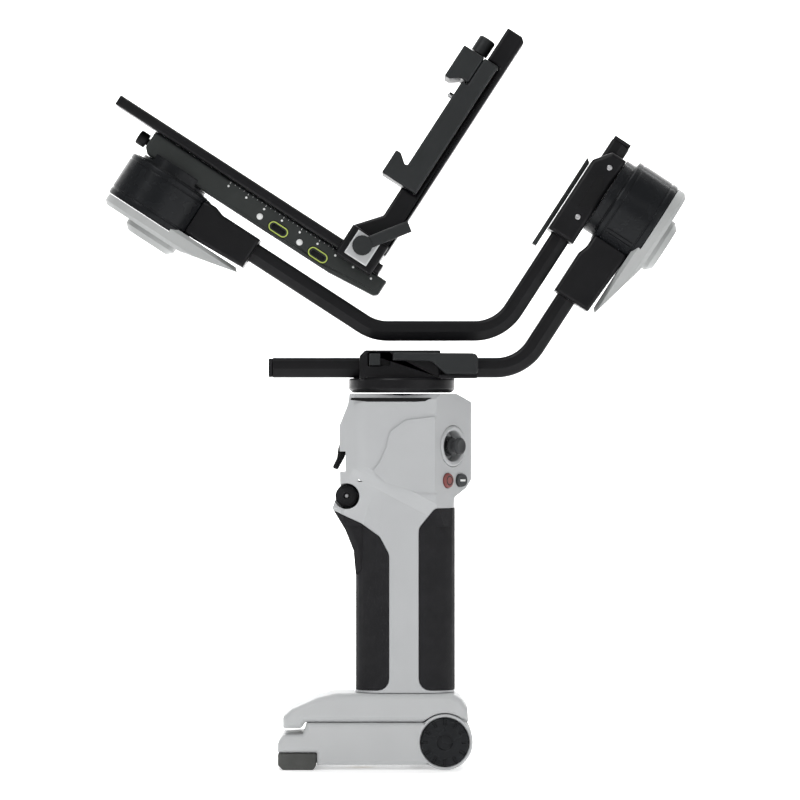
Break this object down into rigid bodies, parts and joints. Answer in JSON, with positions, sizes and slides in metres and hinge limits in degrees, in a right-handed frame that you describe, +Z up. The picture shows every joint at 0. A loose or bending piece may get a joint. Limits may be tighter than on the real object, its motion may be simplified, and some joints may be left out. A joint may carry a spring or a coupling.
{
  "type": "gimbal stabilizer",
  "caption": "Handheld three-axis camera stabilizer with a folding wrist-rest base, grip with joystick and trigger, sliding arms, motors and a quick-release camera clamp.",
  "frame": {"origin": "on the ground, under the middle of the object's box at rest", "axes": "+Z up; X runs from the trigger side (-X) to the thumb side (+X); Y is the depth, with the near (joystick) side at -Y"},
  "size_m": [0.3135, 0.0572, 0.3983],
  "materials": {
    "shell_plastic": "fine satin texture",
    "base_plastic": "fine satin texture",
    "grip_rubber": "soft matte rubber",
    "foot_rubber": "matte rubber",
    "black_anodised": "satin black anodised",
    "motor_casing": "semi-gloss black",
    "dark_grey": "satin dark grey",
    "cap_plastic": "satin grey",
    "steel": "brushed",
    "silver_plate": "bead blasted",
    "copper": "enamelled wire",
    "board": "solder mask",
    "brass": "turned",
    "record_red": "satin red",
    "port_ring": "yellow green",
    "control_dark": "satin dark grey"
  },
  "bodies": {
    "root": {"base_housing": "base_plastic", "pivot_axle": "steel", "rosette_near": "motor_casing", "rosette_far": "motor_casing", "handle_shell_near": "shell_plastic", "handle_shell_far": "shell_plastic", "front_grip_pad": "grip_rubber", "rear_grip_pad": "grip_rubber", "battery_pack": "control_dark", "main_board": "board", "trigger_pin": "steel", "wheel_axle": "steel", "joystick_bezel": "shell_plastic", "pan_motor_housing": "motor_casing", "pan_motor_stator": "copper", "pan_motor_bearing": "steel"},
    "rest": {"wrist_rest_arm": "base_plastic", "rubber_foot": "foot_rubber", "tripod_socket": "brass"},
    "trigger": {"trigger": "black_anodised"},
    "wheel": {"control_wheel": "grip_rubber"},
    "stick_ring": {"joystick_ring": "control_dark"},
    "stick": {"joystick_stick": "control_dark"},
    "record": {"record_button": "record_red"},
    "mode": {"mode_button": "control_dark"},
    "pan": {"pan_arm_clamp": "black_anodised", "pan_motor_rotor": "steel"},
    "pan_lever": {"pan_clamp_lever": "dark_grey"},
    "pan_lock": {"pan_lock_slider": "dark_grey"},
    "pan_arm": {"pan_arm": "black_anodised", "pan_arm_end_cap": "grip_rubber", "roll_motor_bracket": "black_anodised", "roll_motor_case": "motor_casing", "roll_motor_cap": "cap_plastic", "roll_motor_stator": "copper", "roll_motor_bearing": "steel"},
    "roll": {"roll_motor_rotor": "motor_casing", "roll_arm_clamp": "black_anodised"},
    "roll_lever": {"roll_clamp_lever": "dark_grey"},
    "roll_arm": {"roll_arm": "black_anodised", "roll_arm_end_cap": "grip_rubber", "tilt_motor_bracket": "black_anodised", "tilt_motor_case": "motor_casing", "tilt_motor_cap": "cap_plastic", "tilt_motor_stator": "copper", "tilt_motor_bearing": "steel"},
    "tilt": {"tilt_motor_rotor": "motor_casing", "tilt_bar": "dark_grey", "camera_rail": "black_anodised", "usb_port_left": "port_ring", "usb_port_right": "port_ring"},
    "tilt_knob": {"tilt_lock_knob": "black_anodised"},
    "bracket": {"camera_upright": "black_anodised", "lever_plate": "silver_plate", "clamp_block": "dark_grey"},
    "bracket_lever": {"bracket_lever": "dark_grey"},
    "jaw": {"clamp_jaw": "dark_grey"},
    "knob": {"clamp_knob": "dark_grey"},
    "pin": {"safety_pin": "steel"}
  },
  "joints": [
    {"name": "wrist_rest_fold", "type": "hinge", "parent": "root", "child": "rest", "pos_m": [0.0254, 0, 0.015], "axis": [0, -1, 0], "range_deg": [0, 120]},
    {"name": "trigger_pull", "type": "hinge", "parent": "root", "child": "trigger", "pos_m": [-0.0292, 0, 0.173], "axis": [0, -1, 0], "range_deg": [0, 12], "stiffness_Nm_per_rad": 0.05},
    {"name": "control_wheel_spin", "type": "hinge", "parent": "root", "child": "wheel", "pos_m": [-0.0273, 0, 0.1466], "axis": [0, 1, 0], "continuous": true},
    {"name": "joystick_side", "type": "hinge", "parent": "root", "child": "stick_ring", "pos_m": [0.02707, -0.01212, 0.1734], "axis": [0, 0, 1], "range_deg": [-15, 15], "stiffness_Nm_per_rad": 0.02},
    {"name": "joystick_up", "type": "hinge", "parent": "stick_ring", "child": "stick", "pos_m": [0.02707, -0.01212, 0.1734], "axis": [0.6157, 0.788, 0], "range_deg": [-15, 15], "stiffness_Nm_per_rad": 0.02},
    {"name": "record_press", "type": "slide", "parent": "root", "child": "record", "axis": [-0.788, 0.6157, 0], "range_m": [0, 0.0008], "stiffness_N_per_m": 600},
    {"name": "mode_press", "type": "slide", "parent": "root", "child": "mode", "axis": [-0.788, 0.6157, 0], "range_m": [0, 0.0008], "stiffness_N_per_m": 600},
    {"name": "pan_turn", "type": "hinge", "parent": "root", "child": "pan", "pos_m": [0.0024, 0, 0.2102], "axis": [0, 0, 1], "continuous": true},
    {"name": "pan_lever_open", "type": "hinge", "parent": "pan", "child": "pan_lever", "pos_m": [0.0389, -0.0228, 0.2156], "axis": [0, 0, 1], "range_deg": [0, 75]},
    {"name": "pan_lock_slide", "type": "slide", "parent": "pan", "child": "pan_lock", "axis": [1, 0, 0], "range_m": [0, 0.0048]},
    {"name": "pan_arm_slide", "type": "slide", "parent": "pan", "child": "pan_arm", "axis": [1, 0, 0], "range_m": [0, 0.035]},
    {"name": "roll_turn", "type": "hinge", "parent": "pan_arm", "child": "roll", "pos_m": [0.11695, 0, 0.30588], "axis": [0.8387, 0, -0.5446], "range_deg": [-179, 179]},
    {"name": "roll_lever_open", "type": "hinge", "parent": "roll", "child": "roll_lever", "pos_m": [0.10211, 0, 0.32672], "axis": [0, 1, 0], "range_deg": [0, 80]},
    {"name": "roll_arm_slide", "type": "slide", "parent": "roll", "child": "roll_arm", "axis": [0.5446, 0, 0.8387], "range_m": [0, 0.015]},
    {"name": "tilt_turn", "type": "hinge", "parent": "roll_arm", "child": "tilt", "pos_m": [-0.1211, 0, 0.31846], "axis": [0.5446, 0, 0.8387], "range_deg": [-179, 179]},
    {"name": "tilt_knob_turn", "type": "hinge", "parent": "tilt", "child": "tilt_knob", "pos_m": [-0.13392, 0, 0.33692], "axis": [0.8387, 0, -0.5446], "continuous": true},
    {"name": "bracket_slide", "type": "slide", "parent": "tilt", "child": "bracket", "axis": [-0.8387, 0, 0.5446], "range_m": [0, 0.09]},
    {"name": "bracket_lever_turn", "type": "hinge", "parent": "bracket", "child": "bracket_lever", "pos_m": [-0.01877, 0, 0.28086], "axis": [0, 1, 0], "range_deg": [0, 85]},
    {"name": "jaw_slide", "type": "slide", "parent": "bracket", "child": "jaw", "axis": [0.5446, 0, 0.8387], "range_m": [0, 0.004]},
    {"name": "knob_turn", "type": "hinge", "parent": "jaw", "child": "knob", "pos_m": [0.04584, 0, 0.38806], "axis": [0.5446, 0, 0.8387], "range_deg": [0, 1440]},
    {"name": "safety_pin_press", "type": "slide", "parent": "bracket", "child": "pin", "axis": [0.8387, 0, -0.5446], "range_m": [0, 0.0028], "stiffness_N_per_m": 300}
  ],
  "couplings": [
    {"joint": "knob_turn", "follows": "jaw_slide", "rad_per_m": 6283.2}
  ]
}
